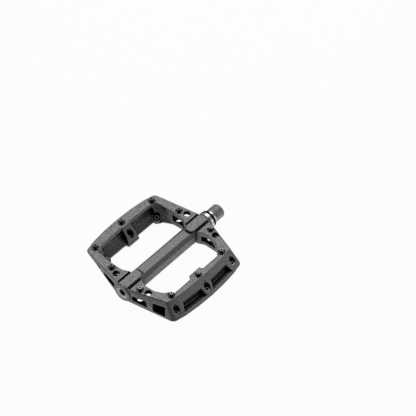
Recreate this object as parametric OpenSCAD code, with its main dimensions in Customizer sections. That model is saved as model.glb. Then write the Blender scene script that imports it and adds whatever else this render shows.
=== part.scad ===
// Flat bicycle pedal: a one-piece hollow platform with screwed-in grip pins, turning on a
// stepped spindle. A plain bush carries it beside the crank and two ball bearings carry it
// at the outer end, behind a screwed end cap.
// X runs along the spindle towards the crank, Y to the rear rail and Z up. The origin is on
// the spindle's axis, at the shoulder that seats on the crank. Lengths are in millimetres.
// The platform is the same on both faces: half a turn about X brings it onto itself.

/* [Platform] */
// Length of the axle housing between its end faces
body_len = 115.6; // [113:0.2:119]
// Size from front to back at the middle of the rails
body_w = 118.8; // [117:0.2:121]
// Thickness of the end plates and rails
plate_t = 17; // [16.6:0.1:18]
// How far each rail's outer face leans over the plate thickness
rail_lean = 12.1; // [11.6:0.1:14.4]
// Radius of the rails' slow curve, seen from above
rail_bow_r = 255; // [240:5:320]
// Chamfer along the platform's outer edges
edge_c = 0.9; // [0.5:0.1:1.2]
// Chamfer along the windows' edges and the pads' edges
inner_edge_c = 0.5; // [0.3:0.1:0.6]
// Height of the flat pads over the bearings, above the axis
pad_z = 9.7; // [9.4:0.1:10.4]
// Width of the flat pads
pad_w = 10; // [9:0.2:10.6]
// Length of each pad from the end of the housing
pad_len = 24.6; // [24:0.2:26]
// Half height of the eight-sided tube between the windows
tube_half_h = 8.1; // [7.9:0.1:8.4]
// Half width of the eight-sided tube between the windows
tube_half_w = 7.4; // [7.3:0.05:7.8]
// Radius of the round boss at each end of the housing
boss_r = 9.3; // [9:0.1:9.6]

/* [Grip pins] */
// Height of a pin above the plate
pin_h = 3.4; // [2.5:0.1:4.5]
// Diameter of a pin's shank
pin_d = 4; // [3.6:0.1:4.2]
// Diameter of a pin's head, inside the platform
pin_head_d = 5.2; // [5:0.1:5.6]
// Thickness of a pin's head
pin_head_h = 1.8; // [1.5:0.1:2]
// Thickness of the wall that a pin is screwed through
pin_wall = 3.2; // [3:0.1:3.5]
// Diameter of the bore that lets a pin in from the other face
access_d = 6.6; // [6.2:0.1:6.8]
// Diameter of the shallow seat round a pin
seat_d = 6.6; // [6:0.1:6.8]

/* [Spindle] */
// Major diameter of the crank thread, nine sixteenths of an inch
thread_d = 14.288; // [14.288]
// Length from the shoulder to the end of the thread
thread_len = 14.1; // [13.5:0.1:16]
// Diameter of the polished collar
collar_d = 18; // [17.4:0.1:18.4]
// Distance from the shoulder to the end face of the housing
collar_len = 6.7; // [6.2:0.1:7.5]
// Diameter of the journal in the bush
journal_d = 12; // [12]
// Width across flats of the key socket in the thread's end
key_af = 8; // [6, 8]

/* [Bearings] */
// Bore of a ball bearing
bearing_id = 8; // [8]
// Outer diameter of a ball bearing
bearing_od = 16; // [16]
// Width of a ball bearing
bearing_w = 5; // [5]
// Number of balls in a bearing
ball_count = 9; // [7:1:9]
// Diameter of a ball
ball_d = 2.3; // [2.1:0.1:2.3]
// Wall of the plain bush
bush_wall = 1; // [0.9:0.05:1.1]
// Length of the plain bush
bush_len = 16; // [12:1:18]

/* [Hidden] */
$fn = 64;
// Facets of the discs that a hull spans, and their thickness
hull_fn = 28;
slice = 0.02;
// Overshoot of a cut past the face it opens
over = 1;
// Running clearance of a shaft in its hole, on the radius
run_gap = 0.03;
// Play left between pieces that are fixed to each other, on the radius
fit_gap = 0.02;

body_grey = "#3a3a3c";
steel = "#c9cacc";
dark_steel = "#55565a";
black_oxide = "#232325";
rubber = "#151516";
bronze = "#8d7a52";

half_len = body_len / 2;
half_w = body_w / 2;
half_t = plate_t / 2;
// Middle of the platform along the spindle
body_x = -(collar_len + half_len);
// Y of the front rail's top edge, where the leaning face starts
break_y = half_w - rail_lean;

// Places of the pins on the top face, in the platform's own frame and for its inboard half
rear_corner_pin = [38.9, 50.2];
rear_middle_pin = [0, 53.2];
front_corner_pin = [34.8, -40.3];
front_middle_pin = [0, -42.4];
end_rear_pin = [46.5, 22.6];
end_front_pin = [48.8, -14.8];
rear_pins = [rear_middle_pin, rear_corner_pin, mirrored(rear_corner_pin)];
front_pins = [front_middle_pin, front_corner_pin, mirrored(front_corner_pin)];
inboard_pins = [end_rear_pin, end_front_pin];
outboard_pins = [mirrored(end_rear_pin), mirrored(end_front_pin)];

// Bearing stack, from the step in the bore outwards
step_inset = 3.8;
bore_step_x = body_x - half_len + pad_len - step_inset;
inner_bearing_x = bore_step_x - bearing_w / 2;
outer_bearing_x = inner_bearing_x - bearing_w;
stack_end_x = bore_step_x - 2 * bearing_w;
washer_t = 0.8;
washer_r = 5.2;
nut_h = 4;
nut_af = 11;
nut_x = stack_end_x - washer_t - nut_h;
// Length of spindle that shows past the locknut
spindle_tail = 0.4;
spindle_end_x = nut_x - spindle_tail;
mid_bore_r = 6.2;
bearing_r = bearing_od / 2;
seal_seat_len = 3.4;
seal_journal_r = 6.1;
// Room for grease at each end of the bush
bush_room = 0.3;
bush_x0 = -(collar_len + seal_seat_len + bush_room + bush_len);
bush_x1 = bush_x0 + bush_len;

function mirrored(p) = [-p[0], p[1]];
function bow(y, x, r) = y - x * x / (2 * r);
// Value at height z of a size that changes evenly from the bottom face to the top face
function lean(top, bottom, z) = (top + bottom) / 2 + (top - bottom) / 2 * z / half_t;
function unit(v) = v / norm(v);
// Radius to the corners of a hexagon of the given width across flats
function hex_r(across_flats) = across_flats / 2 / cos(30);

// Polygon with each corner replaced by an arc of radius r in the given number of steps
function rounded(points, r, steps = 4) = [
    for (i = [0 : len(points) - 1])
        let (
            here = points[i],
            to_last = unit(points[(i + len(points) - 1) % len(points)] - here),
            to_next = unit(points[(i + 1) % len(points)] - here),
            half_angle = acos(to_last * to_next) / 2,
            centre = here + unit(to_last + to_next) * r / sin(half_angle),
            start = here + to_last * r / tan(half_angle) - centre,
            side = sign(cross(start, here - centre)),
            sweep = side * (180 - 2 * half_angle)
        )
        for (step = [0 : steps])
            let (a = sweep * step / steps)
            centre + [start[0] * cos(a) - start[1] * sin(a), start[0] * sin(a) + start[1] * cos(a)]
];

module both_ends() {
    children();
    mirror([1, 0, 0]) children();
}

module both_faces() {
    children();
    rotate([180, 0, 0]) children();
}

// Extrudes an outline drawn in Y and Z from x0 to x1
module along_x(x0, x1) {
    translate([x0, 0, 0]) rotate([90, 0, 90]) linear_extrude(x1 - x0) children();
}

// Cylinder about the spindle's axis from x0 to x1
module rod(x0, x1, r, fn = $fn) {
    translate([x0, 0, 0]) rotate([0, 90, 0]) cylinder(r = r, h = x1 - x0, $fn = fn);
}

// Cone about the spindle's axis from radius r0 at x0 to r1 at x1
module cone(x0, x1, r0, r1) {
    translate([x0, 0, 0]) rotate([0, 90, 0]) cylinder(r1 = r0, r2 = r1, h = x1 - x0);
}

// Ring about the spindle's axis
module ring(x0, x1, inner_r, outer_r) {
    difference() {
        rod(x0, x1, outer_r);
        rod(x0 - over, x1 + over, inner_r);
    }
}

// Solid turned about the spindle's axis from points of distance along it and radius
module turned(points) {
    rotate([0, 90, 0]) rotate_extrude() polygon([for (p = points) [p[1], p[0]]]);
}

// Discs whose hull is the platform's outline at its top face: distance from the middle, Y, radius
rail_x = [0, 17, 33];
rear_edge_r = 2;
front_edge_r = 1.5;
front_corner_y = 17.9 - half_w;
// The front rail's top edge curves less than the rear rail's
front_bow_r = 1.3 * rail_bow_r;
top_discs = concat(
    [for (x = rail_x) [x, bow(half_w, x, rail_bow_r) - rear_edge_r, rear_edge_r]],
    [
        [half_len - 15.4, half_w - 9.9, 5.7],
        [half_len - 3.5, 12, 1],
        [half_len - 2.2, 6, 1],
        [half_len - 2.2, -6, 1],
        [half_len - 4.8, -13, 1],
        [half_len - 15.9, front_corner_y, 2.4]
    ],
    [for (x = rail_x) [x, front_edge_r - bow(break_y, x, front_bow_r), front_edge_r]]
);
bottom_discs = [for (d = top_discs) [d[0], -d[1], d[2]]];

module outline_slice(discs, z, inset) {
    for (d = discs)
        for (side = [-1, 1])
            translate([side * d[0], d[1], z]) cylinder(r = d[2] - inset, h = slice, $fn = hull_fn);
}

module envelope() {
    hull() {
        outline_slice(top_discs, half_t - slice, edge_c);
        outline_slice(top_discs, half_t - edge_c, 0);
        outline_slice(bottom_discs, edge_c - half_t, 0);
        outline_slice(bottom_discs, -half_t, edge_c);
    }
}

// Corners of the rear window: distance from the middle and Y at the top face, the same at the
// bottom face, and the corner's radius
window_x = half_len - 15.8;
window_corners = [
    [window_x - 8.5, 1.9, window_x - 8.5, 1.9, 2],
    [window_x - 8.5, 6.5, window_x - 8.5, 6.5, 2],
    [window_x - 5.8, 15.5, window_x - 5.8, 15.5, 5.6],
    [window_x - 4.2, 28, window_x - 5, 23.5, 4.2],
    [window_x - 5.8, 43.6, window_x - 8.6, 30.6, 4.2],
    [18, 47.4, 18, 36.6, 1.4],
    [0, 47.7, 0, 36.6, 1.4]
];

module window_slice(z, growth) {
    for (c = window_corners)
        for (side = [-1, 1])
            translate([side * lean(c[0], c[2], z), lean(c[1], c[3], z), z])
                cylinder(r = c[4] + growth, h = slice, center = true, $fn = hull_fn);
}

// The window, with a flare where it meets each face
module window() {
    hull() {
        window_slice(-half_t - over, 0);
        window_slice(half_t + over, 0);
    }
    for (face = [-1, 1])
        hull() {
            window_slice(face * (half_t - inner_edge_c), 0);
            window_slice(face * (half_t + over), inner_edge_c + over);
        }
}

// Hollow in the inner face of the rear rail, from the middle boss to the corner, drawn in Y and Z.
// It leaves a thin flange at the top, a ledge half way down and a lip at the bottom
boss_half_w = 5.4;
inner_pocket_end = 35.2;
inner_pocket = [
    [35, -6], [40, -6], [44.4, -2.6], [46.2, -2], [48.5, 2.2], [48.4, 6.4], [35, 6.4]
];
// What is cut off the lip's edge, which ends at the boss of the corner pin
lip_end = 33.5;
lip_edge = [
    [35, -half_t - over], [41.5, -half_t - over], [41.5, -half_t], [40.5, -8.05], [40, -7.2], [40, -5.9],
    [35, -5.9]
];

module rear_rail_pocket() {
    along_x(boss_half_w, inner_pocket_end) polygon(inner_pocket);
    along_x(boss_half_w, lip_end) polygon(lip_edge);
}

// Boss of the middle bore, which stands out from the rear rail's inner face, drawn in Y and Z and
// seen from the front, and its foot, seen from above
boss_section = [
    [48.3, half_t], [40.6, 0.3], [37.8, -6.3], [37.8, -half_t], [43.5, -half_t], [52, half_t]
];
boss_front = [[-6.8, -half_t], [6.8, -half_t], [4.9, half_t], [-4.9, half_t]];
foot_h = 2.2;
foot_plan = [[-6.8, 37.2], [6.8, 37.2], [9.4, 42.4], [-9.4, 42.4]];

module middle_boss() {
    intersection() {
        along_x(-half_len, half_len) polygon(boss_section);
        translate([0, half_w, 0]) rotate([90, 0, 0]) linear_extrude(half_w) polygon(boss_front);
    }
    translate([0, 0, -half_t]) linear_extrude(foot_h) polygon(foot_plan);
}

// Long pocket in the leaning outer face of the front rail, drawn in Y and Z and seen from above. Its
// upright back wall curves with the rail and its floor falls a little inwards
pocket_wall_y = -51.2;
pocket_bow_r = 294;
pocket_centre_y = pocket_wall_y + pocket_bow_r;
outer_pocket = [
    [pocket_wall_y, half_t], [pocket_wall_y, 1.3], [pocket_wall_y + 0.3, -5.1], [pocket_wall_y - 0.5, -5.9],
    [-62, -4.9], [-62, half_t]
];
outer_pocket_plan = [[8, -48], [28.8, -48], [37.5, -62], [2.6, -62]];

module front_rail_pocket() {
    intersection() {
        translate([0, pocket_centre_y, 0])
            rotate_extrude() polygon([for (p = outer_pocket) [pocket_centre_y - p[0], p[1]]]);
        linear_extrude(plate_t, center = true) polygon(outer_pocket_plan);
    }
}

// Openings in the end wall ahead of the axle, drawn in Y and Z
slot_corner_r = 0.9;
long_slot = [[-10.5, 2.9], [-10.9, -3.6], [-27.2, -4.3], [-25.7, 3.3]];
short_slot = [[-31, 3.4], [-32.8, -5.5], [-45.6, -5.6], [-42.8, 3.4]];

// The long one runs through to the window, and the short one is a blind pocket
module end_wall_slots() {
    along_x(window_x - 4, half_len + over) polygon(rounded(long_slot, slot_corner_r));
    along_x(window_x, half_len + over) polygon(rounded(short_slot, slot_corner_r));
}

// Channel beside a flat pad, drawn in Y and Z
channel_section = [
    [pad_w / 2 - 1, half_t + over], [pad_w / 2 - 1, 7.4], [pad_w / 2 + 0.2, 7.4], [6.3, 6.6],
    [8.3, half_t + over]
];
// Length of the plate that closes a channel at each end
channel_stop_in = 1;
channel_stop_out = 2.6;

module pad_channel() {
    along_x(half_len - pad_len + channel_stop_in, half_len - channel_stop_out) polygon(channel_section);
}

// Flat pad over a bearing, seen from above, with a nose that narrows towards the middle
pad_nose_w = 4.4;
pad_nose_x = half_len - pad_len;
pad_shoulder_x = pad_nose_x + (pad_w - pad_nose_w) / 2;
pad_end_x = half_len - 1.4;
pad_middle_x = (pad_nose_x + pad_end_x) / 2;

module pad_plan() {
    polygon([
        [pad_nose_x, pad_nose_w / 2], [pad_nose_x, -pad_nose_w / 2], [pad_shoulder_x, -pad_w / 2],
        [pad_end_x, -pad_w / 2], [pad_end_x, pad_w / 2], [pad_shoulder_x, pad_w / 2]
    ]);
}

tube_flat_half_w = 3.85;
tube_side_half_h = tube_half_h - (tube_half_w - tube_flat_half_w);
tube_quarter = [[tube_flat_half_w, tube_half_h], [tube_half_w, tube_side_half_h]];
tube_inset = 2;
// Groove in the tube round a pad's nose
nose_groove_z = 7.2;
nose_groove_w = 1.8;

module nose_groove() {
    tip_y = pad_nose_w / 2 + nose_groove_w * tan(22.5);
    side_x = pad_shoulder_x - nose_groove_w * sqrt(2);
    translate([0, 0, nose_groove_z])
        linear_extrude(half_t)
            polygon([
                [pad_nose_x - nose_groove_w, tip_y], [pad_nose_x - nose_groove_w, -tip_y],
                [side_x, -pad_w / 2], [pad_shoulder_x, -pad_w / 2], [pad_shoulder_x, pad_w / 2],
                [side_x, pad_w / 2]
            ]);
}

module tube() {
    difference() {
        along_x(tube_inset - half_len, half_len - tube_inset)
            polygon(concat(
                tube_quarter,
                [for (i = [1, 0]) [tube_quarter[i][0], -tube_quarter[i][1]]],
                [for (p = tube_quarter) -p],
                [for (i = [1, 0]) [-tube_quarter[i][0], tube_quarter[i][1]]]
            ));
        both_faces() both_ends() nose_groove();
    }
}

module bearing_pad() {
    side_z = pad_z - inner_edge_c;
    top_scale = [1 - 2 * inner_edge_c / (pad_end_x - pad_nose_x), 1 - 2 * inner_edge_c / pad_w];
    translate([0, 0, -side_z]) linear_extrude(2 * side_z) pad_plan();
    both_faces()
        translate([pad_middle_x, 0, side_z])
            linear_extrude(inner_edge_c, scale = top_scale, slices = 1, segments = 1)
                translate([-pad_middle_x, 0]) pad_plan();
}

module end_boss() {
    boss_len = 7;
    boss_c = 0.7;
    rod(half_len - boss_len, half_len - boss_c, boss_r);
    cone(half_len - boss_c, half_len, boss_r, boss_r - boss_c);
}

// Round wall over the bearings, whose bore is wider than the tube
housing_wall = 0.8;

module bearing_housing() {
    rod(tube_inset - half_len, bore_step_x - body_x + housing_wall, bearing_r + housing_wall);
}

// Boss round the bore of a corner pin, on the bottom lip of the rear rail
corner_boss_r = 4.2;
corner_boss_h = 3.4;

module corner_boss() {
    translate([front_corner_pin[0], -front_corner_pin[1], -half_t])
        cylinder(r = corner_boss_r, h = corner_boss_h);
}

// Bores for the pins of the top face: thread, access from below and a shallow seat at the surface.
// The seat and the access bore have a small chamfer at their mouths
seat_depth = 1.4;
mouth_c = 0.4;

module mouth(d) {
    translate([0, 0, half_t - mouth_c])
        cylinder(d1 = d, d2 = d + 2 * (mouth_c + over), h = mouth_c + over);
}

module pin_bores() {
    for (p = concat(rear_pins, front_pins, inboard_pins, outboard_pins))
        translate([p[0], p[1], 0]) {
            translate([0, 0, -half_t - over]) cylinder(d = access_d, h = plate_t + over - pin_wall);
            mirror([0, 0, 1]) mouth(access_d);
            cylinder(d = pin_d, h = half_t + over);
            translate([0, 0, half_t - seat_depth]) cylinder(d = seat_d, h = over + seat_depth);
            mouth(seat_d);
        }
}

// Stepped bore of the housing, in the platform's own frame
module axle_bore() {
    rod(-half_len - over, half_len + over, mid_bore_r);
    rod(-half_len - over, bore_step_x - body_x, bearing_r);
    rod(half_len - seal_seat_len, half_len + over, bearing_r);
    rod(bush_x0 - bush_room - body_x, half_len, journal_d / 2 + bush_wall);
}

module platform() {
    color(body_grey)
        translate([body_x, 0, 0])
            difference() {
                union() {
                    difference() {
                        envelope();
                        both_faces() window();
                        both_faces() both_ends() {
                            rear_rail_pocket();
                            front_rail_pocket();
                            end_wall_slots();
                            pad_channel();
                            mirror([0, 1, 0]) pad_channel();
                        }
                    }
                    tube();
                    bearing_housing();
                    both_ends() {
                        bearing_pad();
                        end_boss();
                    }
                    both_faces() {
                        middle_boss();
                        both_ends() corner_boss();
                    }
                }
                both_faces() pin_bores();
                axle_bore();
            }
}

// Spindle, outlined from the thread's end to the outboard end
thread_r = thread_d / 2;
thread_c = 0.8;
collar_r = collar_d / 2;
// The collar stops short of the housing
collar_gap = 0.5;
// Groove behind the collar's rim, and the rim that seats on the crank
groove_x0 = -2.1;
groove_x1 = -0.7;
groove_r = collar_r - 1;
rim_r = collar_r - 0.4;
rim_c = 0.3;
seal_shoulder = 0.1;
// The journal ends in a small step, then the shank tapers to a shoulder for the bearings
journal_end_x = bush_x0 - 1;
journal_step = 0.5;
taper_r = 4.8;
bearing_shoulder_r = 5;
bearing_shoulder_len = 3;
shoulder_c = 1;
end_c = 0.6;
spindle_outline = [
    [thread_len, 0], [thread_len, thread_r - thread_c], [thread_len - thread_c, thread_r], [0, thread_r],
    [0, rim_r - rim_c], [-rim_c, rim_r], [groove_x1, rim_r],
    [groove_x1, groove_r], [groove_x0, groove_r], [groove_x0, collar_r],
    [collar_gap - collar_len, collar_r], [collar_gap - collar_len, seal_journal_r],
    [bush_x1 + seal_shoulder, seal_journal_r], [bush_x1 + seal_shoulder, journal_d / 2],
    [journal_end_x, journal_d / 2], [journal_end_x - 2 * journal_step, journal_d / 2 - journal_step],
    [bore_step_x + bearing_shoulder_len + shoulder_c, taper_r],
    [bore_step_x + bearing_shoulder_len, bearing_shoulder_r],
    [bore_step_x, bearing_shoulder_r], [bore_step_x, bearing_id / 2],
    [spindle_end_x + end_c, bearing_id / 2], [spindle_end_x, bearing_id / 2 - end_c], [spindle_end_x, 0]
];

module spindle() {
    socket_depth = 9;
    mouth_depth = 0.8;
    mouth_flare = 1.2;
    color(steel)
        difference() {
            turned(spindle_outline);
            rod(thread_len - socket_depth, thread_len + over, hex_r(key_af), 6);
            cone(thread_len - mouth_depth, thread_len + slice, key_af / 2, key_af / 2 + mouth_flare);
        }
}

module plain_bush() {
    color(bronze) ring(bush_x0, bush_x1, journal_d / 2 + run_gap, journal_d / 2 + bush_wall - fit_gap);
}

// Seal with a stiff outer ring, a back wall and a lip that leans towards the crank
module lip_seal() {
    ring_t = 0.7;
    back_t = 1;
    lip_t = 0.4;
    end_gap = 0.1;
    lip_setback = 0.3;
    outer_r = bearing_r - fit_gap;
    ring_r = outer_r - ring_t;
    lip_r = seal_journal_r + 0.05;
    root_r = lip_r + 0.2;
    x0 = end_gap - collar_len - seal_seat_len;
    x1 = -collar_len - end_gap;
    color(rubber)
        turned([
            [x0, outer_r], [x1, outer_r], [x1, ring_r], [x0 + back_t, ring_r],
            [x0 + back_t, lip_r + lip_t], [x1 - lip_setback, lip_r + lip_t], [x1 - lip_setback, lip_r],
            [x0, root_r]
        ]);
}

// Ball bearing: the races' lands stand this far from the balls' pitch circle
race_land = 0.7;
ball_pitch_r = (bearing_id + bearing_od) / 4;
track_r = ball_d / 2 + 0.06;

module ball_track() {
    rotate([0, 90, 0]) rotate_extrude() translate([ball_pitch_r, 0]) circle(r = track_r);
}

module outer_race(x) {
    color(steel)
        translate([x, 0, 0])
            difference() {
                ring(-bearing_w / 2, bearing_w / 2, ball_pitch_r + race_land, bearing_r - fit_gap);
                ball_track();
            }
}

module inner_race(x) {
    color(steel)
        translate([x, 0, 0])
            difference() {
                ring(-bearing_w / 2, bearing_w / 2, bearing_id / 2 + fit_gap, ball_pitch_r - race_land);
                ball_track();
            }
}

module ball_ring(r) {
    for (i = [0 : ball_count - 1])
        rotate([i * 360 / ball_count, 0, 0]) translate([0, 0, ball_pitch_r]) sphere(r = r);
}

module balls(x) {
    color(steel) translate([x, 0, 0]) ball_ring(ball_d / 2);
}

// Crown cage: a ring on one side of the balls, with a pocket for each
module cage(x) {
    half_depth = 0.5;
    tip_x = -0.4;
    back_x = 1.75;
    pocket_gap = 0.05;
    color(bronze)
        translate([x, 0, 0])
            difference() {
                ring(tip_x, back_x, ball_pitch_r - half_depth, ball_pitch_r + half_depth);
                ball_ring(ball_d / 2 + pocket_gap);
            }
}

module shields(x) {
    shield_t = 0.35;
    inset = 0.1;
    bore_gap = 0.1;
    color(black_oxide)
        for (x0 = [inset - bearing_w / 2, bearing_w / 2 - inset - shield_t])
            translate([x, 0, 0])
                ring(x0, x0 + shield_t, ball_pitch_r - race_land + bore_gap,
                     ball_pitch_r + race_land - fit_gap);
}

module inner_bearing_outer_race() { outer_race(inner_bearing_x); }
module inner_bearing_inner_race() { inner_race(inner_bearing_x); }
module inner_bearing_balls() { balls(inner_bearing_x); }
module inner_bearing_cage() { cage(inner_bearing_x); }
module inner_bearing_shields() { shields(inner_bearing_x); }
module outer_bearing_outer_race() { outer_race(outer_bearing_x); }
module outer_bearing_inner_race() { inner_race(outer_bearing_x); }
module outer_bearing_balls() { balls(outer_bearing_x); }
module outer_bearing_cage() { cage(outer_bearing_x); }
module outer_bearing_shields() { shields(outer_bearing_x); }

module thrust_washer() {
    color(steel) ring(stack_end_x - washer_t, stack_end_x, bearing_id / 2 + fit_gap, washer_r);
}

module locknut() {
    color(dark_steel)
        difference() {
            rod(nut_x, nut_x + nut_h, hex_r(nut_af), 6);
            rod(nut_x - over, nut_x + nut_h + over, bearing_id / 2 + fit_gap);
        }
}

// End cap, flush with the outboard boss, with a key socket and a groove for its sealing ring
cap_len = 5;
cap_face_x = body_x - half_len;
cap_r = bearing_r - fit_gap;
cap_ring_r = 0.75;
cap_ring_x = cap_face_x + 3.4;
cap_groove_depth = 1.6;

module end_cap() {
    socket_af = 6;
    socket_depth = 4;
    mouth_r = 3.8;
    mouth_depth = 1.8;
    flare_r = 5.7;
    flare_depth = 1.2;
    color(body_grey)
        difference() {
            rod(cap_face_x, cap_face_x + cap_len, cap_r);
            cone(cap_face_x - slice, cap_face_x + flare_depth, flare_r, mouth_r);
            rod(cap_face_x, cap_face_x + mouth_depth, mouth_r);
            rod(cap_face_x, cap_face_x + socket_depth, hex_r(socket_af), 6);
            ring(cap_ring_x - cap_ring_r, cap_ring_x + cap_ring_r, cap_r - cap_groove_depth, cap_r + over);
        }
}

module end_cap_o_ring() {
    color(rubber)
        translate([cap_ring_x, 0, 0])
            rotate([0, 90, 0])
                rotate_extrude()
                    translate([bearing_r - cap_ring_r - fit_gap, 0]) circle(r = cap_ring_r - fit_gap);
}

// Grip pin for the top face at the middle: shank with a dimpled tip, head and key socket below
module grip_pin() {
    tip_z = half_t + pin_h;
    tip_c = 0.45;
    dimple_r = 0.95;
    dimple_depth = 1.2;
    pin_key_af = 2.5;
    pin_key_depth = 1.5;
    head_top = half_t - pin_wall;
    head_z = head_top - pin_head_h;
    shank_r = pin_d / 2 - fit_gap;
    difference() {
        union() {
            translate([0, 0, head_top]) cylinder(r = shank_r, h = tip_z - tip_c - head_top);
            translate([0, 0, tip_z - tip_c]) cylinder(r1 = shank_r, r2 = shank_r - tip_c, h = tip_c);
            translate([0, 0, head_z]) cylinder(d = pin_head_d, h = pin_head_h);
        }
        translate([0, 0, tip_z - dimple_depth]) cylinder(r = dimple_r, h = dimple_depth + over);
        translate([0, 0, head_z - over]) cylinder(r = hex_r(pin_key_af), h = over + pin_key_depth, $fn = 6);
    }
}

module pin_group(places, turn) {
    color(black_oxide)
        translate([body_x, 0, 0])
            rotate([turn, 0, 0])
                for (p = places)
                    translate([p[0], p[1], 0]) grip_pin();
}

module top_rear_pins() { pin_group(rear_pins, 0); }
module top_front_pins() { pin_group(front_pins, 0); }
module top_inboard_pins() { pin_group(inboard_pins, 0); }
module top_outboard_pins() { pin_group(outboard_pins, 0); }
// Half a turn about X puts the top face's rear pins at the front of the bottom face
module bottom_rear_pins() { pin_group(front_pins, 180); }
module bottom_front_pins() { pin_group(rear_pins, 180); }
module bottom_inboard_pins() { pin_group(inboard_pins, 180); }
module bottom_outboard_pins() { pin_group(outboard_pins, 180); }

platform();
spindle();
plain_bush();
lip_seal();
inner_bearing_outer_race();
inner_bearing_inner_race();
inner_bearing_balls();
inner_bearing_cage();
inner_bearing_shields();
outer_bearing_outer_race();
outer_bearing_inner_race();
outer_bearing_balls();
outer_bearing_cage();
outer_bearing_shields();
thrust_washer();
locknut();
end_cap();
end_cap_o_ring();
top_rear_pins();
top_front_pins();
top_inboard_pins();
top_outboard_pins();
bottom_rear_pins();
bottom_front_pins();
bottom_inboard_pins();
bottom_outboard_pins();
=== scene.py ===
# %% [markdown]
# # A flat bicycle pedal
# The pedal is a black moulded platform that turns on a steel spindle. Screwed-in pins on both
# faces grip the shoe. The solids of every piece come ready made, at their real size in metres,
# and this lesson gives them their looks: turned metal with a cut thread, moulded grain, worn
# edges, studio light and a camera. The solids are loaded first, because every size below is
# read from them where it can be.

# %% Load the solids
import math

import bmesh
import bpy
from mathutils import Matrix, Vector


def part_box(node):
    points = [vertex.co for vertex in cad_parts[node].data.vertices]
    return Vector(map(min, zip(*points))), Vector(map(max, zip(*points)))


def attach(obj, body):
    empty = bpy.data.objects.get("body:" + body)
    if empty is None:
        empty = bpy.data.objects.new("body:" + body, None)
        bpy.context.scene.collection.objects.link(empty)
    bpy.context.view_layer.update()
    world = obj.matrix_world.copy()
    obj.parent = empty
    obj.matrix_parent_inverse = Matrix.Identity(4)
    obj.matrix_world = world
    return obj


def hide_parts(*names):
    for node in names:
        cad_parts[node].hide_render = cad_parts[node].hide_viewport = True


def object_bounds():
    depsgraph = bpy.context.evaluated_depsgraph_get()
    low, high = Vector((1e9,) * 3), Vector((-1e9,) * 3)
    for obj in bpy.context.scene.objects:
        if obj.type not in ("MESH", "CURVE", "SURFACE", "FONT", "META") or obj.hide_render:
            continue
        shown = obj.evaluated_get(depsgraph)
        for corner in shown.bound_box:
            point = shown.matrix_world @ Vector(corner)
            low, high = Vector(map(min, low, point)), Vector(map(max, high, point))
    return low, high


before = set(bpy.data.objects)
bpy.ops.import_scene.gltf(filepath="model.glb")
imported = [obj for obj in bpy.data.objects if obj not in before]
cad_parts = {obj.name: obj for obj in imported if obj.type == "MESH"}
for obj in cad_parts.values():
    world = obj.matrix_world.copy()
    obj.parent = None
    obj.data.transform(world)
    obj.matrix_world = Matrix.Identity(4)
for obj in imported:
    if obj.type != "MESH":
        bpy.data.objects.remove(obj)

MM = 0.001
cad_low, cad_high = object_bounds()
platform_low, platform_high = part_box("platform")
platform_middle = (platform_low + platform_high) / 2


def into_scene(thing):
    bpy.context.scene.collection.objects.link(thing)
    return thing


print("size in mm:", [round(side / MM, 1) for side in cad_high - cad_low])

# %% [markdown]
# ## The camera
# The picture looks down on the pedal's front corner through a long lens. The numbers here are the
# direction from the platform's middle to the camera, the distance, and the pixel where the middle
# shows in a picture of 416 by 416. Turning the camera puts the middle on that pixel, so that no
# lens shift is needed and other views stay centred.

# %% Camera
PICTURE_SIDE = 416
view_elevation = math.radians(49.57)
view_turn = math.radians(47.85)
view_roll = math.radians(-0.43)
view_distance = 1.791
pixels_per_metre = 1078.0
middle_pixel = (163.9, 257.1)
sensor_side = 36.0


def add_camera():
    level = Vector((math.cos(view_turn), -math.sin(view_turn), 0))
    flat = Vector((-math.sin(view_turn), -math.cos(view_turn), 0))
    to_camera = flat * math.cos(view_elevation) + Vector((0, 0, math.sin(view_elevation)))
    upright = to_camera.cross(level)
    right = level * math.cos(view_roll) + upright * math.sin(view_roll)
    up = upright * math.cos(view_roll) - level * math.sin(view_roll)
    focal_pixels = pixels_per_metre * view_distance
    across = PICTURE_SIDE / 2 - middle_pixel[0]
    down = PICTURE_SIDE / 2 - middle_pixel[1]
    ahead = (right * across - up * down) / focal_pixels - to_camera
    back = -ahead.normalized()
    side = up.cross(back).normalized()
    data = bpy.data.cameras.new("camera")
    data.sensor_width = sensor_side
    data.lens = focal_pixels / PICTURE_SIDE * sensor_side
    data.clip_start = view_distance / 100
    data.clip_end = view_distance * 100
    camera = into_scene(bpy.data.objects.new("camera", data))
    camera.matrix_world = Matrix.Translation(platform_middle + to_camera * view_distance) @ Matrix(
        (side, back.cross(side), back)
    ).transposed().to_4x4()
    bpy.context.scene.camera = camera
    return camera


print("camera lens in mm:", round(add_camera().data.lens, 1))

# %% [markdown]
# ## Writing node maths as Python
# Both materials and geometry trees are networks of nodes. Wiring each one by hand hides the idea,
# so a small class wraps one socket: arithmetic on it adds a Math node, and its node method adds
# any other node, with its settings first and then the values or links of its sockets.

# %% Sockets with arithmetic


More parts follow.
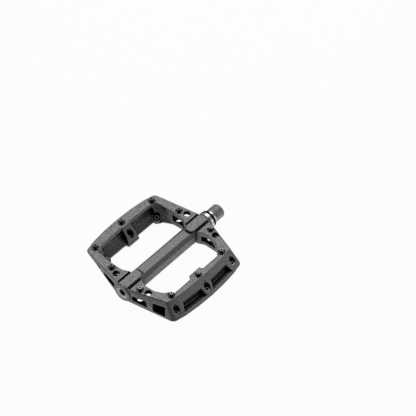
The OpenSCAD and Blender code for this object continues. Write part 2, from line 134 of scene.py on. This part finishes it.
class Wire:
    """A socket in a node tree. Arithmetic on it adds Math nodes."""

    def __init__(self, tree, socket=None):
        self.tree = tree
        self.socket = socket

    def node(self, kind, settings=None, sockets=None, output=0):
        made = self.tree.nodes.new(kind)
        for name, value in (settings or {}).items():
            setattr(made, name, value)
        for name, value in (sockets or {}).items():
            if isinstance(value, Wire):
                self.tree.links.new(value.socket, made.inputs[name])
            else:
                made.inputs[name].default_value = value
        return Wire(self.tree, made.outputs[output] if len(made.outputs) else None)

    def maths(self, operation, first, second=0.0, third=0.0):
        return self.node("ShaderNodeMath", {"operation": operation}, {0: first, 1: second, 2: third})

    def __add__(self, other):
        return self.maths("ADD", self, other)

    __radd__ = __add__

    def __sub__(self, other):
        return self.maths("SUBTRACT", self, other)

    def __rsub__(self, other):
        return self.maths("SUBTRACT", other, self)

    def __mul__(self, other):
        return self.maths("MULTIPLY", self, other)

    __rmul__ = __mul__

    def __truediv__(self, other):
        return self.maths("DIVIDE", self, other)

    def __neg__(self):
        return self * -1.0

    def ramp(self, start, end, low=0.0, high=1.0):
        """Goes smoothly from low at start to high at end."""
        return self.node(
            "ShaderNodeMapRange",
            {"interpolation_type": "SMOOTHSTEP"},
            {"Value": self, "From Min": start, "From Max": end, "To Min": low, "To Max": high},
        )

    def part(self, axis):
        """One coordinate of a vector: X, Y or Z."""
        return self.node("ShaderNodeSeparateXYZ", sockets={0: self}, output=axis)


print("wires ready")

# %% [markdown]
# ## Finishes
# Every finish is procedural: a noise or a wave in the piece's own coordinates changes colour,
# roughness and a fine bump. The Bevel node looks at the surface round each point, so it rounds the
# sharp edges of the solids in the shading and says where the edges are, which is where the
# moulding gets a painted highlight and where turned metal is a little smoother.

# %% Helpers for finishes


def start_finish(name):
    """A new empty material and the wire of its place on the piece, in metres."""
    material = bpy.data.materials.new(name)
    material.use_nodes = True
    material.node_tree.nodes.clear()
    place = Wire(material.node_tree).node("ShaderNodeTexCoord", output="Object")
    return material, place


def noise(place, size, detail=2.0):
    """Cloudy noise from 0 to 1 with patches of about the given size."""
    return place.node(
        "ShaderNodeTexNoise", sockets={"Vector": place, "Scale": 1 / size, "Detail": detail}
    )


def mix_colour(factor, first, second):
    return factor.node("ShaderNodeMix", {"data_type": "RGBA"}, {0: factor, 6: first, 7: second}, output=2)


def grey(value, tint=0.0):
    """A linear grey, a little blue for a positive tint and a little brown for a negative one."""
    return (value * (1 - tint), value, value * (1 + tint), 1.0)


def rounded_normal(place, radius):
    """The surface's direction with its edges rounded, and a mask of those edges."""
    smooth = place.node("ShaderNodeBevel", {"samples": 6}, {"Radius": radius})
    true_normal = place.node("ShaderNodeNewGeometry", output="Normal")
    likeness = place.node(
        "ShaderNodeVectorMath", {"operation": "DOT_PRODUCT"}, {0: smooth, 1: true_normal}, output=1
    )
    return smooth, (1 - likeness).ramp(0.002, 0.06)


def bump(height, depth, normal=None):
    sockets = {"Height": height, "Distance": depth, "Strength": 1.0}
    if normal is not None:
        sockets["Normal"] = normal
    return height.node("ShaderNodeBump", sockets=sockets)


def openness(place, distance):
    """From 0 deep in a hollow to 1 in the open."""
    settings = {"samples": 8, "only_local": True}
    return place.node("ShaderNodeAmbientOcclusion", settings, {"Distance": distance}, output="AO")


# A near-black dull shader, mixed into deep hollows as painted shade.
hollow_painted_shade = {"Base Color": grey(0.004), "Roughness": 0.6, "Specular IOR Level": 0.08}


def end_finish(material, place, constants, hollow=None, **varying):
    """Joins what varies, and sets what doesn't, on the surface's shader. In hollows a dark dull shader
    can be mixed in as painted shade.
    """
    sockets = dict(constants)
    for name, wire in varying.items():
        sockets[name.replace("_", " ")] = wire
    shader = place.node("ShaderNodeBsdfPrincipled", sockets=sockets)
    if hollow is not None:
        dull = place.node("ShaderNodeBsdfPrincipled", sockets=hollow_painted_shade)
        shader = place.node("ShaderNodeMixShader", sockets={0: hollow, 1: shader, 2: dull})
    place.node("ShaderNodeOutputMaterial", sockets={"Surface": shader})
    return material


print("finish helpers ready")

# %% [markdown]
# ## Moulded black
# The platform is a black moulding with a fine grain from the tool's surface. Three noises give it:
# a broad cloud for uneven colour, a grain of about half a millimetre for the bump, and specks for
# the filler that shows at the skin. Edges that stand in the open get a painted highlight, a paler
# colour, and deep hollows get a painted shade, a dark dull shader mixed in. The end cap has the
# same skin, with a pale ring on the flare that leads to its socket.

# %% Moulded black
cloud_size = 9 * MM
speck_size = 1 * MM
grain_depth = 0.012 * MM
edge_highlight_reach = 4 * MM
edge_highlight_paler = 28.0
painted_shade_reach = 30 * MM
pale_ring_grey = 0.75
cap_socket_half = 3 * MM
cap_flare_radius = 5.8 * MM


def ring_mask(place, inner, outer, blur=0.3 * MM):
    """1 between two radii about the X axis and 0 elsewhere."""
    y, z = place.part("Y"), place.part("Z")
    from_axis = y.maths("SQRT", y * y + z * z)
    return from_axis.ramp(outer + blur, outer) * from_axis.ramp(inner, inner + blur)


def moulded_black(name, base=0.02, grain_size=0.55 * MM, edge_radius=0.9 * MM, pale_ring=None):
    material, place = start_finish(name)
    cloud = noise(place, cloud_size)
    grain = noise(place, grain_size, detail=3.0)
    specks = noise(place, speck_size).ramp(0.36, 0.64)
    normal, edge = rounded_normal(place, edge_radius)
    shade = base * (0.2 + 0.5 * cloud + 3.0 * specks)
    # Painted highlight: edges in the open are mixed towards a paler grey.
    edge_highlight = edge * openness(place, edge_highlight_reach).ramp(0.7, 0.95)
    colour = mix_colour(edge_highlight * 0.6, shade, grey(base * edge_highlight_paler))
    # A pale ring between two radii, on the cap's flare round its socket.
    if pale_ring is not None:
        colour = mix_colour(ring_mask(place, *pale_ring), colour, grey(pale_ring_grey))
    return end_finish(
        material,
        place,
        {"IOR": 1.7, "Specular IOR Level": 1.0},
        # Painted shade: the dark dull shader is mixed in deep in hollows, less on their open edges.
        hollow=openness(place, painted_shade_reach).ramp(0.92, 0.5) * (1 - 0.8 * edge_highlight),
        Base_Color=colour,
        Roughness=0.22 + 0.06 * grain + 0.04 * cloud + 0.3 * specks,
        Normal=bump(grain + 2.0 * specks, grain_depth, normal),
    )


platform_finish = moulded_black("moulded_black")
cap_finish = moulded_black(
    "cap_black",
    base=0.016,
    grain_size=0.4 * MM,
    edge_radius=0.4 * MM,
    pale_ring=(cap_socket_half + 0.2 * MM, cap_flare_radius),
)
print("moulded finishes:", platform_finish.name, cap_finish.name)

# %% [markdown]
# ## Turned and plated steel
# Steel that is turned in a lathe keeps fine rings round its axis. A noise that is squeezed along
# the axis and stretched round it gives them. The spindle is polished at the collar and the neck
# and dull where the thread is cut. Between them a band over the groove and the collar's rim is
# painted black as shade, so one finish blends the three along the axis.

# %% Turned steel


def lathe_rings(place, pitch):
    """Fine rings about the X axis."""
    along = place.part("X") / pitch
    flat = place.node("ShaderNodeCombineXYZ", sockets={"X": along})
    return place.node("ShaderNodeTexNoise", sockets={"Vector": flat, "Scale": 1.0, "Detail": 2.0})


def turned_steel(name, colour_low, colour_high, roughness, ring_pitch=0.12 * MM, ring_depth=0.002 * MM):
    material, place = start_finish(name)
    rings = lathe_rings(place, ring_pitch)
    cloud = noise(place, 4 * MM)
    normal, edge = rounded_normal(place, 0.15 * MM)
    colour = mix_colour(cloud, grey(colour_low, 0.02), grey(colour_high, 0.02))
    return end_finish(
        material,
        place,
        {"Metallic": 1.0},
        Base_Color=colour,
        Roughness=roughness * (0.8 + 0.4 * rings) + 0.05 * cloud - 0.04 * edge,
        Normal=bump(rings, ring_depth, normal),
    )


thread_start = 2.2 * MM
shade_band_inner = -3.1 * MM
shade_band_outer = 0.2 * MM


def spindle_steel(name):
    material, place = start_finish(name)
    rings = lathe_rings(place, 0.15 * MM)
    cloud = noise(place, 3 * MM)
    along = place.part("X")
    cut = along.ramp(thread_start - 0.3 * MM, thread_start + 0.4 * MM)
    # Painted shade: a near-black band over the groove and the collar's rim.
    painted_shade_band = along.ramp(shade_band_inner, shade_band_inner + 0.2 * MM) * along.ramp(shade_band_outer, shade_band_outer - 0.1 * MM)
    normal, edge = rounded_normal(place, 0.12 * MM)
    colour = mix_colour(cloud, grey(0.62, 0.02), grey(0.74, 0.02))
    colour = mix_colour(cut, colour, mix_colour(cloud, grey(0.45, 0.02), grey(0.55, 0.02)))
    colour = mix_colour(painted_shade_band, colour, mix_colour(cloud, grey(0.012), grey(0.02)))
    return end_finish(
        material,
        place,
        {"Metallic": 1.0},
        Base_Color=colour,
        Roughness=0.26 + 0.1 * rings + 0.3 * cut + 0.1 * painted_shade_band - 0.04 * edge,
        Normal=bump(rings, 0.002 * MM, normal),
    )


spindle_finish = spindle_steel("polished_spindle_steel")
bearing_finish = turned_steel("bearing_steel", 0.5, 0.6, 0.18)
washer_finish = turned_steel("washer_steel", 0.42, 0.52, 0.3)
nut_finish = turned_steel("nut_steel", 0.3, 0.4, 0.34)
shield_finish = turned_steel("shield_steel", 0.2, 0.28, 0.36)
print("steel finishes ready")

# %% [markdown]
# ## Black steel pins
# The pins are blackened steel. Shoes rub the black off the tips and keys rub it off the other end,
# so both ends are brighter and smoother, and less so towards the rear rail. Heights count from the
# axis without their sign, because both faces are alike.

# %% Pin steel
pin_foot, pin_tip = (corner.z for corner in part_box("top_rear_pins"))
dull_y = 40 * MM
bright_y = -10 * MM
rear_wear = 0.35


def pin_steel(name):
    material, place = start_finish(name)
    cloud = noise(place, 1.2 * MM, detail=3.0)
    height = place.part("Z")
    height = height.maths("ABSOLUTE", height)
    rubbed = height.ramp(pin_tip - 0.6 * MM, pin_tip - 0.1 * MM)
    key_face = height.ramp(pin_foot + 0.3 * MM, pin_foot + 0.1 * MM)
    normal = rounded_normal(place, 0.12 * MM)[0]
    worn = cloud.maths("MAXIMUM", 0.7 * rubbed, key_face) * (0.6 + 0.8 * cloud)
    worn = worn * place.part("Y").ramp(dull_y, bright_y, rear_wear, 1.0)
    colour = mix_colour(worn, grey(0.02, 0.02), grey(0.5, 0.02))
    return end_finish(
        material,
        place,
        {"Metallic": 1.0},
        Base_Color=colour,
        Roughness=0.36 + 0.1 * cloud - 0.1 * worn,
        Normal=bump(cloud, 0.01 * MM, normal),
    )


pin_finish = pin_steel("blackened_pin_steel")
print("pin finish:", pin_finish.name)

# %% [markdown]
# ## Hidden finishes
# The bush is sintered bronze with pores, the ball cages are pressed brass and the seals are rubber.
# They are inside the housing, and still get their real finish, because the parts come apart.

# %% Bronze, brass and rubber


def porous_metal(name, low, high, roughness):
    material, place = start_finish(name)
    pores = noise(place, 0.25 * MM, detail=3.0)
    cloud = noise(place, 3 * MM)
    colour = mix_colour(cloud, low, high)
    colour = mix_colour(pores.ramp(0.55, 0.7) * 0.5, colour, grey(0.05))
    return end_finish(
        material,
        place,
        {"Metallic": 1.0},
        Base_Color=colour,
        Roughness=roughness + 0.15 * pores,
        Normal=bump(pores, 0.01 * MM),
    )


def seal_rubber(name):
    material, place = start_finish(name)
    bloom = noise(place, 2 * MM, detail=3.0)
    skin = noise(place, 0.2 * MM)
    colour = mix_colour(bloom, grey(0.012), grey(0.03))
    return end_finish(
        material,
        place,
        {},
        Base_Color=colour,
        Roughness=0.55 + 0.2 * bloom,
        Normal=bump(skin, 0.006 * MM),
    )


bush_finish = porous_metal("bush_bronze", (0.3, 0.2, 0.09, 1), (0.38, 0.26, 0.12, 1), 0.35)
cage_finish = porous_metal("cage_brass", (0.5, 0.36, 0.12, 1), (0.58, 0.43, 0.17, 1), 0.25)
rubber_finish = seal_rubber("seal_rubber")
print("hidden finishes:", bush_finish.name, cage_finish.name, rubber_finish.name)

# %% [markdown]
# ## The platform
# On the real pedal the platform is one moulding with the axle housing in its middle. Its solid has
# the right shape already, so the piece is a copy of it. The loose triangles are merged, and the
# normals that came with them are dropped, because they no longer fit. Faces that meet at a small
# angle are then shaded smooth while real edges stay sharp, and the Weighted Normal modifier lets
# the large faces win, so that flat faces look flat right up to their edges.

# %% Platform


def add_piece(name, mesh, finish, body, replaced):
    """Puts a finished mesh in the scene as a piece that moves with a body and stands for solids."""
    mesh.materials.clear()
    mesh.materials.append(finish)
    piece = into_scene(bpy.data.objects.new(name, mesh))
    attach(piece, body)
    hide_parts(*replaced)
    print(name, "has", len(mesh.polygons), "faces")
    return piece


def shade_by_angle(mesh, degrees):
    mesh.shade_smooth()
    mesh.set_sharp_from_angle(angle=math.radians(degrees))
    return mesh


def merged_shape(node):
    """The solids of a node as a shape to work on, with their loose triangles merged."""
    shape = bmesh.new()
    shape.from_mesh(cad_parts[node].data)
    bmesh.ops.remove_doubles(shape, verts=shape.verts, dist=0.001 * MM)
    return shape


def mesh_from_shape(name, shape):
    mesh = bpy.data.meshes.new(name)
    shape.to_mesh(mesh)
    shape.free()
    return mesh


def merged_copy(node):
    mesh = mesh_from_shape(node + "_merged", merged_shape(node))
    mesh.attributes.remove(mesh.attributes["custom_normal"])
    return shade_by_angle(mesh, degrees=20)


def evaluated_mesh(holder):
    """The mesh that an object's modifiers make. The object itself is taken away."""
    into_scene(holder)
    evaluated = holder.evaluated_get(bpy.context.evaluated_depsgraph_get())
    made = bpy.data.meshes.new_from_object(evaluated)
    bpy.data.objects.remove(holder)
    return made


def flat_faces_first(mesh):
    holder = bpy.data.objects.new("holder", mesh)
    weighted = holder.modifiers.new("weighted", "WEIGHTED_NORMAL")
    weighted.mode = "FACE_AREA_WITH_ANGLE"
    weighted.weight = 90
    weighted.keep_sharp = True
    return evaluated_mesh(holder)


platform_mesh = flat_faces_first(merged_copy("platform"))
add_piece("moulded_platform", platform_mesh, platform_finish, "platform", ["platform"])

# %% [markdown]
# ## Turned pieces
# A turned piece is an outline swung round an axis. The outline here is a list of stations: how far
# along the axis, how far from it, and whether that ring is round or a hexagon, because the key
# sockets are hexagons in a round piece. Rings of the same number of points join into one closed
# skin, with no cutting, so the sockets come out clean.

# %% Turning an outline


def ring_radius(size, six_sided, angle):
    """Distance from the axis at an angle. A hexagon's size is half its width across flats."""
    if not six_sided:
        return size
    from_flat = (angle + math.pi / 6) % (math.pi / 3) - math.pi / 6
    return size / math.cos(from_flat)


def turned_mesh(name, stations, segments):
    """A closed skin about the X axis. The first and last stations are closed at their middles."""
    shape = bmesh.new()
    angles = [2 * math.pi * i / segments for i in range(segments)]
    rings = []
    for along, size, six_sided in stations:
        radii = [ring_radius(size, six_sided, angle) for angle in angles]
        rings.append([
            shape.verts.new((along, radius * math.cos(angle), radius * math.sin(angle)))
            for radius, angle in zip(radii, angles)
        ])
    for ring, following in zip(rings, rings[1:]):
        for i in range(segments):
            j = (i + 1) % segments
            shape.faces.new((ring[i], ring[j], following[j], following[i]))
    for ring, station in ((rings[0], stations[0]), (rings[-1], stations[-1])):
        middle = shape.verts.new((station[0], 0, 0))
        for i in range(segments):
            shape.faces.new((ring[i], ring[(i + 1) % segments], middle))
    bmesh.ops.recalc_face_normals(shape, faces=shape.faces)
    return mesh_from_shape(name, shape)


def round_stations(points):
    return [(along, size, False) for along, size in points]


def steps(start, end, step):
    """Evenly spaced values from start to end, no further apart than step."""
    count = math.ceil(abs(end - start) / step)
    return [start + (end - start) * i / count for i in range(count + 1)]


print("turning ready")

# %% [markdown]
# ## Cutting a thread with Geometry Nodes
# A screw thread follows one rule all round: the depth of the cut depends on how far along the axis
# a point is, less the share of a turn that it lies at. A node tree can say that in a few lines of
# maths and move the points of a finely ringed blank inwards. The same tree then cuts the crank
# thread and the small threads of the pins, with other sizes in its named inputs.

# %% The thread tree
flank_slope = 1.3
crest_flat = 0.1


def start_tree(name, inputs):
    """A geometry tree with the given inputs, and wires from them."""
    tree = bpy.data.node_groups.new(name, "GeometryNodeTree")
    tree.is_modifier = True
    tree.interface.new_socket("Geometry", in_out="INPUT", socket_type="NodeSocketGeometry")
    for label, kind in inputs.items():
        tree.interface.new_socket(label, in_out="INPUT", socket_type="NodeSocket" + kind)
    tree.interface.new_socket("Geometry", in_out="OUTPUT", socket_type="NodeSocketGeometry")
    entry = tree.nodes.new("NodeGroupInput")
    return tree, {socket.name: Wire(tree, socket) for socket in entry.outputs if socket.name}


def end_tree(geometry, material):
    """Closes a tree: real geometry, with the finish on it."""
    real = geometry.node("GeometryNodeRealizeInstances", sockets={"Geometry": geometry})
    done = real.node("GeometryNodeSetMaterial", sockets={"Geometry": real, "Material": material})
    done.tree.links.new(done.socket, done.tree.nodes.new("NodeGroupOutput").inputs["Geometry"])


def thread_tree():
    tree, given = start_tree("cut_thread", {
        "Pitch": "Float", "Depth": "Float", "Start": "Float", "End": "Float", "Least Radius": "Float",
        "Finish": "Material",
    })
    place = Wire(tree).node("GeometryNodeInputPosition")
    along, y, z = place.part("X"), place.part("Y"), place.part("Z")
    radius = along.maths("SQRT", y * y + z * z)
    turn = along.maths("ARCTAN2", z, y) / (2 * math.pi)
    phase = along.maths("FRACT", along / given["Pitch"] - turn)
    valley = along.maths("ABSOLUTE", 2 * phase - 1)
    flank = valley.maths("MINIMUM", flank_slope * valley, 1.0) - crest_flat
    flank = flank.maths("MAXIMUM", flank, 0.0)
    run_in = along.ramp(given["Start"], given["Start"] + given["Pitch"])
    run_out = along.ramp(given["End"], given["End"] - 0.5 * given["Pitch"])
    outside = along.maths("GREATER_THAN", radius, given["Least Radius"])
    cut = flank * run_in * run_out * given["Depth"] * outside / radius
    inward = place.node("ShaderNodeCombineXYZ", sockets={"X": 0.0, "Y": -(y * cut), "Z": -(z * cut)})
    moved = place.node(
        "GeometryNodeSetPosition", sockets={"Geometry": given["Geometry"], "Offset": inward}
    )
    end_tree(moved, given["Finish"])
    return tree


def grow(name, mesh, tree, values):
    """Runs a tree on a mesh, with its named inputs set, and returns the plain mesh it makes."""
    holder = bpy.data.objects.new(name + "_blank", mesh)
    modifier = holder.modifiers.new("grow", "NODES")
    modifier.node_group = tree
    for item in tree.interface.items_tree:
        if item.in_out == "INPUT" and item.name in values:
            modifier[item.identifier] = values[item.name]
    made = evaluated_mesh(holder)
    made.name = name
    return made


thread_cutter = thread_tree()
print("thread tree nodes:", len(thread_cutter.nodes))

# %% [markdown]
# ## The spindle
# The spindle is turned from one bar. From the crank end it has the crank thread with a key socket,
# a plain neck, a rim and a groove, the polished collar, then the journals inside the housing. The
# thread has twenty turns to the inch and is cut on a blank with many rings along that stretch.

# %% Spindle
spindle_low, spindle_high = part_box("spindle")
collar_radius = spindle_high.y
thread_end = spindle_high.x
thread_pitch = 25.4 / 20 * MM
thread_depth = 0.7 * MM
thread_radius = 14.288 / 2 * MM
end_chamfer = 0.8 * MM
thread_rings_per_turn = 14
socket_half = 4 * MM
socket_depth = 9 * MM
groove_start = -2.1 * MM
collar_start = -6.2 * MM
collar_edge = 0.25 * MM
seal_journal = 6.1 * MM
bush_journal = 6.0 * MM
bearing_journal = 4.0 * MM
bearing_shoulder = 5.0 * MM
bush_low, bush_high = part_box("plain_bush")
race_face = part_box("inner_bearing_inner_race")[1].x


def spindle_stations():
    thread_rings = steps(thread_end - end_chamfer, thread_start, thread_pitch / thread_rings_per_turn)
    rim_radius = collar_radius - 0.4 * MM
    groove_radius = collar_radius - 1 * MM
    key = [
        (thread_end - socket_depth, socket_half * 0.3, True),
        (thread_end - socket_depth, socket_half, True),
        (thread_end - 0.8 * MM, socket_half, True),
        (thread_end, socket_half + 1.2 * MM, False),
    ]
    outside = [(thread_end, thread_radius - end_chamfer)]
    outside += [(along, thread_radius) for along in thread_rings]
    outside += [
        (0.5 * MM, thread_radius), (0.0, thread_radius + 0.4 * MM),
        (0.0, rim_radius - 0.3 * MM), (-0.3 * MM, rim_radius), (-0.7 * MM, rim_radius),
        (-0.8 * MM, groove_radius), (groove_start + 0.1 * MM, groove_radius),
        (groove_start, collar_radius - collar_edge), (groove_start - collar_edge, collar_radius),
        (collar_start + collar_edge, collar_radius), (collar_start, collar_radius - collar_edge),
    ]
    outside += [
        (collar_start, seal_journal), (bush_high.x + 0.1 * MM, seal_journal),
        (bush_high.x + 0.1 * MM, bush_journal), (bush_low.x - 1 * MM, bush_journal),
        (bush_low.x - 2 * MM, 5.5 * MM), (race_face + 4 * MM, 4.8 * MM),
        (race_face + 3 * MM, bearing_shoulder), (race_face, bearing_shoulder),
        (race_face, bearing_journal), (spindle_low.x + 0.6 * MM, bearing_journal),
        (spindle_low.x, bearing_journal - 0.6 * MM),
    ]
    return key + round_stations(outside)


spindle_mesh = grow(
    "crank_spindle",
    turned_mesh("spindle_blank", spindle_stations(), segments=96),
    thread_cutter,
    {
        "Pitch": thread_pitch, "Depth": thread_depth, "Start": thread_start, "End": thread_end,
        "Least Radius": thread_radius - 0.4 * MM, "Finish": spindle_finish,
    },
)
shade_by_angle(spindle_mesh, degrees=28)
add_piece("crank_spindle", spindle_mesh, spindle_finish, "spindle", ["spindle"])

# %% [markdown]
# ## The end cap
# A screwed cap closes the outer end of the housing. A wide flare leads a key into its socket, and
# a groove behind its face holds a sealing ring. It is one more turned outline.

# %% End cap
cap_low, cap_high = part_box("end_cap")
cap_socket_top = cap_low.x + 1.8 * MM
cap_socket_floor = cap_low.x + 4 * MM
ring_groove = (cap_low.x + 2.65 * MM, cap_low.x + 4.15 * MM)
ring_groove_depth = 1.6 * MM


def cap_stations():
    face = cap_low.x
    radius = cap_high.y
    neck = cap_socket_half + 0.8 * MM
    groove_radius = radius - ring_groove_depth
    inner = [
        (cap_socket_floor, cap_socket_half * 0.3, True), (cap_socket_floor, cap_socket_half, True),
        (cap_socket_top, cap_socket_half, True),
    ]
    outer = [
        (cap_socket_top, neck), (face + 1.2 * MM, neck), (face + 0.1 * MM, cap_flare_radius - 0.2 * MM),
        (face, cap_flare_radius), (face, radius - 0.4 * MM), (face + 0.4 * MM, radius),
        (ring_groove[0], radius), (ring_groove[0], groove_radius),
        (ring_groove[1], groove_radius), (ring_groove[1], radius), (cap_high.x, radius),
    ]
    return inner + round_stations(outer)


cap_mesh = turned_mesh("screwed_end_cap", cap_stations(), segments=72)
shade_by_angle(cap_mesh, degrees=28)
add_piece("screwed_end_cap", cap_mesh, cap_finish, "platform", ["end_cap"])

# %% [markdown]
# ## The grip pins
# Twenty pins screw in from the opposite face, ten on each side. Each is a threaded shank with a
# dimpled tip, and a round head with a key socket below. One pin is turned and threaded, and a
# second tree sets a copy on every place, each with its own turn from a fixed seed. The places are
# the middles of the solids that the pins stand for.

# %% One pin
pin_pitch = 0.7 * MM
pin_rings_per_turn = 8
pin_thread_depth = 0.28 * MM


def pin_stations():
    shank = 1.98 * MM
    head = 2.6 * MM
    head_top = pin_foot + 1.8 * MM
    key_half = 1.25 * MM
    key_floor = pin_foot + 1.5 * MM
    dimple = 0.95 * MM
    key = [
        (key_floor, 0.4 * MM, True), (key_floor, key_half, True),
        (pin_foot + 0.2 * MM, key_half, True), (pin_foot, 1.6 * MM, False),
    ]
    body = [
        (pin_foot, head - 0.25 * MM), (pin_foot + 0.25 * MM, head), (head_top - 0.15 * MM, head),
        (head_top, head - 0.15 * MM),
    ]
    shank_rings = steps(head_top, pin_tip - 0.45 * MM, pin_pitch / pin_rings_per_turn)
    body += [(along, shank) for along in shank_rings]
    body += [
        (pin_tip, shank - 0.45 * MM), (pin_tip, 1.1 * MM), (pin_tip - 0.15 * MM, dimple),
        (pin_tip - 1.2 * MM, dimple), (pin_tip - 1.4 * MM, 0.3 * MM),
    ]
    return key + round_stations(body)


def one_pin():
    mesh = grow(
        "grip_pin",
        turned_mesh("pin_blank", pin_stations(), segments=24),
        thread_cutter,
        {
            "Pitch": pin_pitch, "Depth": pin_thread_depth, "Start": pin_foot + 1.9 * MM,
            "End": pin_tip - 0.5 * MM, "Least Radius": 1.9 * MM, "Finish": pin_finish,
        },
    )
    mesh.transform(Matrix.Rotation(-math.pi / 2, 4, "Y"))
    return shade_by_angle(mesh, degrees=32)


pin_mesh = one_pin()
print("one pin has", len(pin_mesh.polygons), "faces")

# %% Pins on their places


def solid_middles(node):
    """The middle of each separate solid in a node, seen from above."""
    shape = merged_shape(node)
    waiting = set(shape.verts)
    middles = []
    while waiting:
        reached = [waiting.pop()]
        solid = list(reached)
        while reached:
            vert = reached.pop()
            found = {edge.other_vert(vert) for edge in vert.link_edges} & waiting
            waiting -= found
            reached.extend(found)
            solid.extend(found)
        low_x, high_x = min(v.co.x for v in solid), max(v.co.x for v in solid)
        low_y, high_y = min(v.co.y for v in solid), max(v.co.y for v in solid)
        middles.append(((low_x + high_x) / 2, (low_y + high_y) / 2, 0.0))
    shape.free()
    return sorted(middles)


def pin_tree():
    inputs = {"Pin": "Object", "Flip": "Float", "Seed": "Int", "Finish": "Material"}
    tree, given = start_tree("set_pins", inputs)
    points = Wire(tree).node("GeometryNodeMeshToPoints", sockets={"Mesh": given["Geometry"]})
    pin = points.node("GeometryNodeObjectInfo", sockets={"Object": given["Pin"]}, output="Geometry")
    spin = points.node(
        "FunctionNodeRandomValue", {"data_type": "FLOAT"},
        {2: 0.0, 3: 2 * math.pi, "Seed": given["Seed"]}, output=1,
    )
    turn = points.node("ShaderNodeCombineXYZ", sockets={"X": given["Flip"], "Y": 0.0, "Z": spin})
    placed = points.node(
        "GeometryNodeInstanceOnPoints", sockets={"Points": points, "Instance": pin, "Rotation": turn}
    )
    end_tree(placed, given["Finish"])
    return tree


pin_setter = pin_tree()
pin_holder = into_scene(bpy.data.objects.new("grip_pin", pin_mesh))
for number, node in enumerate(sorted(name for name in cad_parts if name.endswith("_pins"))):
    places = bpy.data.meshes.new(node + "_places")
    places.from_pydata(solid_middles(node), [], [])
    flip = math.pi if node.startswith("bottom") else 0.0
    values = {"Pin": pin_holder, "Flip": flip, "Seed": number, "Finish": pin_finish}
    group = grow(node, places, pin_setter, values)
    add_piece(node.replace("pins", "grip_pins"), group, pin_finish, "platform", [node])
bpy.data.objects.remove(pin_holder)

# %% [markdown]
# ## Pieces inside the housing
# The bush, seals, bearings, washer and nut keep their solids, which are right as they are. Each
# gets the finish of what it is made of.

# %% Finishes of the inside pieces
inside_finishes = {
    "plain_bush": bush_finish, "lip_seal": rubber_finish, "end_cap_o_ring": rubber_finish,
    "thrust_washer": washer_finish, "locknut": nut_finish,
}
for bearing in ("inner_bearing", "outer_bearing"):
    for piece, finish in (
        ("outer_race", bearing_finish), ("inner_race", bearing_finish), ("balls", bearing_finish),
        ("cage", cage_finish), ("shields", shield_finish),
    ):
        inside_finishes[bearing + "_" + piece] = finish
for node, finish in inside_finishes.items():
    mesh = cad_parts[node].data
    mesh.materials.clear()
    mesh.materials.append(finish)
print("inside pieces:", len(inside_finishes))

# %% [markdown]
# ## The studio
# The pedal lies on white paper under one large soft light behind it, whose reflection makes the
# top faces grey while the sides stay black. The paper is white to the eye and still takes the
# pedal's shadow. In reflections it is white beside and under the pedal, and dim further behind and
# in front. The room is pale low down at the sides, and dim above, behind and in front, so that
# faces that lean away from the light reflect little.

# %% Floor
floor_half = 3.0
floor_white = 0.96
floor_dim = 0.12
away_x, away_y = math.sin(view_turn), math.cos(view_turn)
middle_away = away_x * platform_middle.x + away_y * platform_middle.y
far_dim_start = 35 * MM
far_dim_end = 65 * MM
front_dim_start = platform_low.y - 6 * MM
front_dim_end = platform_low.y - 18 * MM


def away_from_viewer(place):
    """How far a place or a direction goes to the side that is away from the camera."""
    return away_x * place.part("X") + away_y * place.part("Y")


def floor_paper():
    material, place = start_finish("white_paper")
    fibre = noise(place, 2 * MM)
    paper_colour = mix_colour(fibre, grey(0.86), grey(0.9))
    paper = place.node("ShaderNodeBsdfDiffuse", sockets={"Color": paper_colour})
    by_eye, by_gloss, by_glass = (
        place.node("ShaderNodeLightPath", output=ray)
        for ray in ("Is Camera Ray", "Is Glossy Ray", "Is Transmission Ray")
    )
    past_pedal = away_from_viewer(place) - middle_away
    behind = past_pedal.ramp(far_dim_start, far_dim_end)
    in_front = place.part("Y").ramp(front_dim_start, front_dim_end)
    light = mix_colour((behind + in_front) * (1 - by_eye), grey(1.0), grey(floor_dim))
    glow = place.node("ShaderNodeEmission", sockets={"Color": light, "Strength": 1.0})
    share = by_eye.maths("MINIMUM", by_eye + by_gloss + by_glass, 1.0) * floor_white
    both = place.node("ShaderNodeMixShader", sockets={0: share, 1: paper, 2: glow})
    place.node("ShaderNodeOutputMaterial", sockets={"Surface": both})
    return material


def add_floor():
    mesh = bpy.data.meshes.new("floor")
    middle = platform_middle
    corners = [
        (middle.x + x * floor_half, middle.y + y * floor_half, cad_low.z)
        for x, y in ((-1, -1), (1, -1), (1, 1), (-1, 1))
    ]
    mesh.from_pydata(corners, [], [(0, 1, 2, 3)])
    mesh.materials.append(floor_paper())
    floor = into_scene(bpy.data.objects.new("floor", mesh))
    return floor


print("floor at z in mm:", round(add_floor().data.vertices[0].co.z / MM, 2))

# %% Lights and room
softbox_way = Vector((0.42, 0.3, 0.86))
softbox_distance = 1.0
softbox_side = 0.8
softbox_power = 4.6
room_low = 1.15
room_above = 0.15
room_behind = 0.12
room_in_front = 0.25


def add_softbox(name, way, distance, side, power):
    data = bpy.data.lights.new(name, "AREA")
    data.shape = "SQUARE"
    data.size = side
    data.energy = power
    light = into_scene(bpy.data.objects.new(name, data))
    light.location = platform_middle + way.normalized() * distance
    light.rotation_euler = way.to_track_quat("Z", "Y").to_euler()
    return light


def add_room():
    world = bpy.data.worlds.new("room")
    world.use_nodes = True
    world.node_tree.nodes.clear()
    way = Wire(world.node_tree).node("ShaderNodeTexCoord", output="Generated")
    away = away_from_viewer(way)
    level = way.part("Z").ramp(0.25, 0.55, room_low, room_above)
    level = level * away.ramp(0.25, 0.75, 1.0, room_behind) * away.ramp(-0.25, -0.8, 1.0, room_in_front)
    by_eye = way.node("ShaderNodeLightPath", output="Is Camera Ray")
    colour = mix_colour(by_eye, level, grey(1.0))
    room = way.node("ShaderNodeBackground", sockets={"Color": colour, "Strength": 1.0})
    way.node("ShaderNodeOutputWorld", sockets={"Surface": room})
    bpy.context.scene.world = world
    return world


add_softbox("softbox", softbox_way, softbox_distance, softbox_side, softbox_power)
print("room:", add_room().name)
bpy.context.scene.view_settings.view_transform = "Standard"
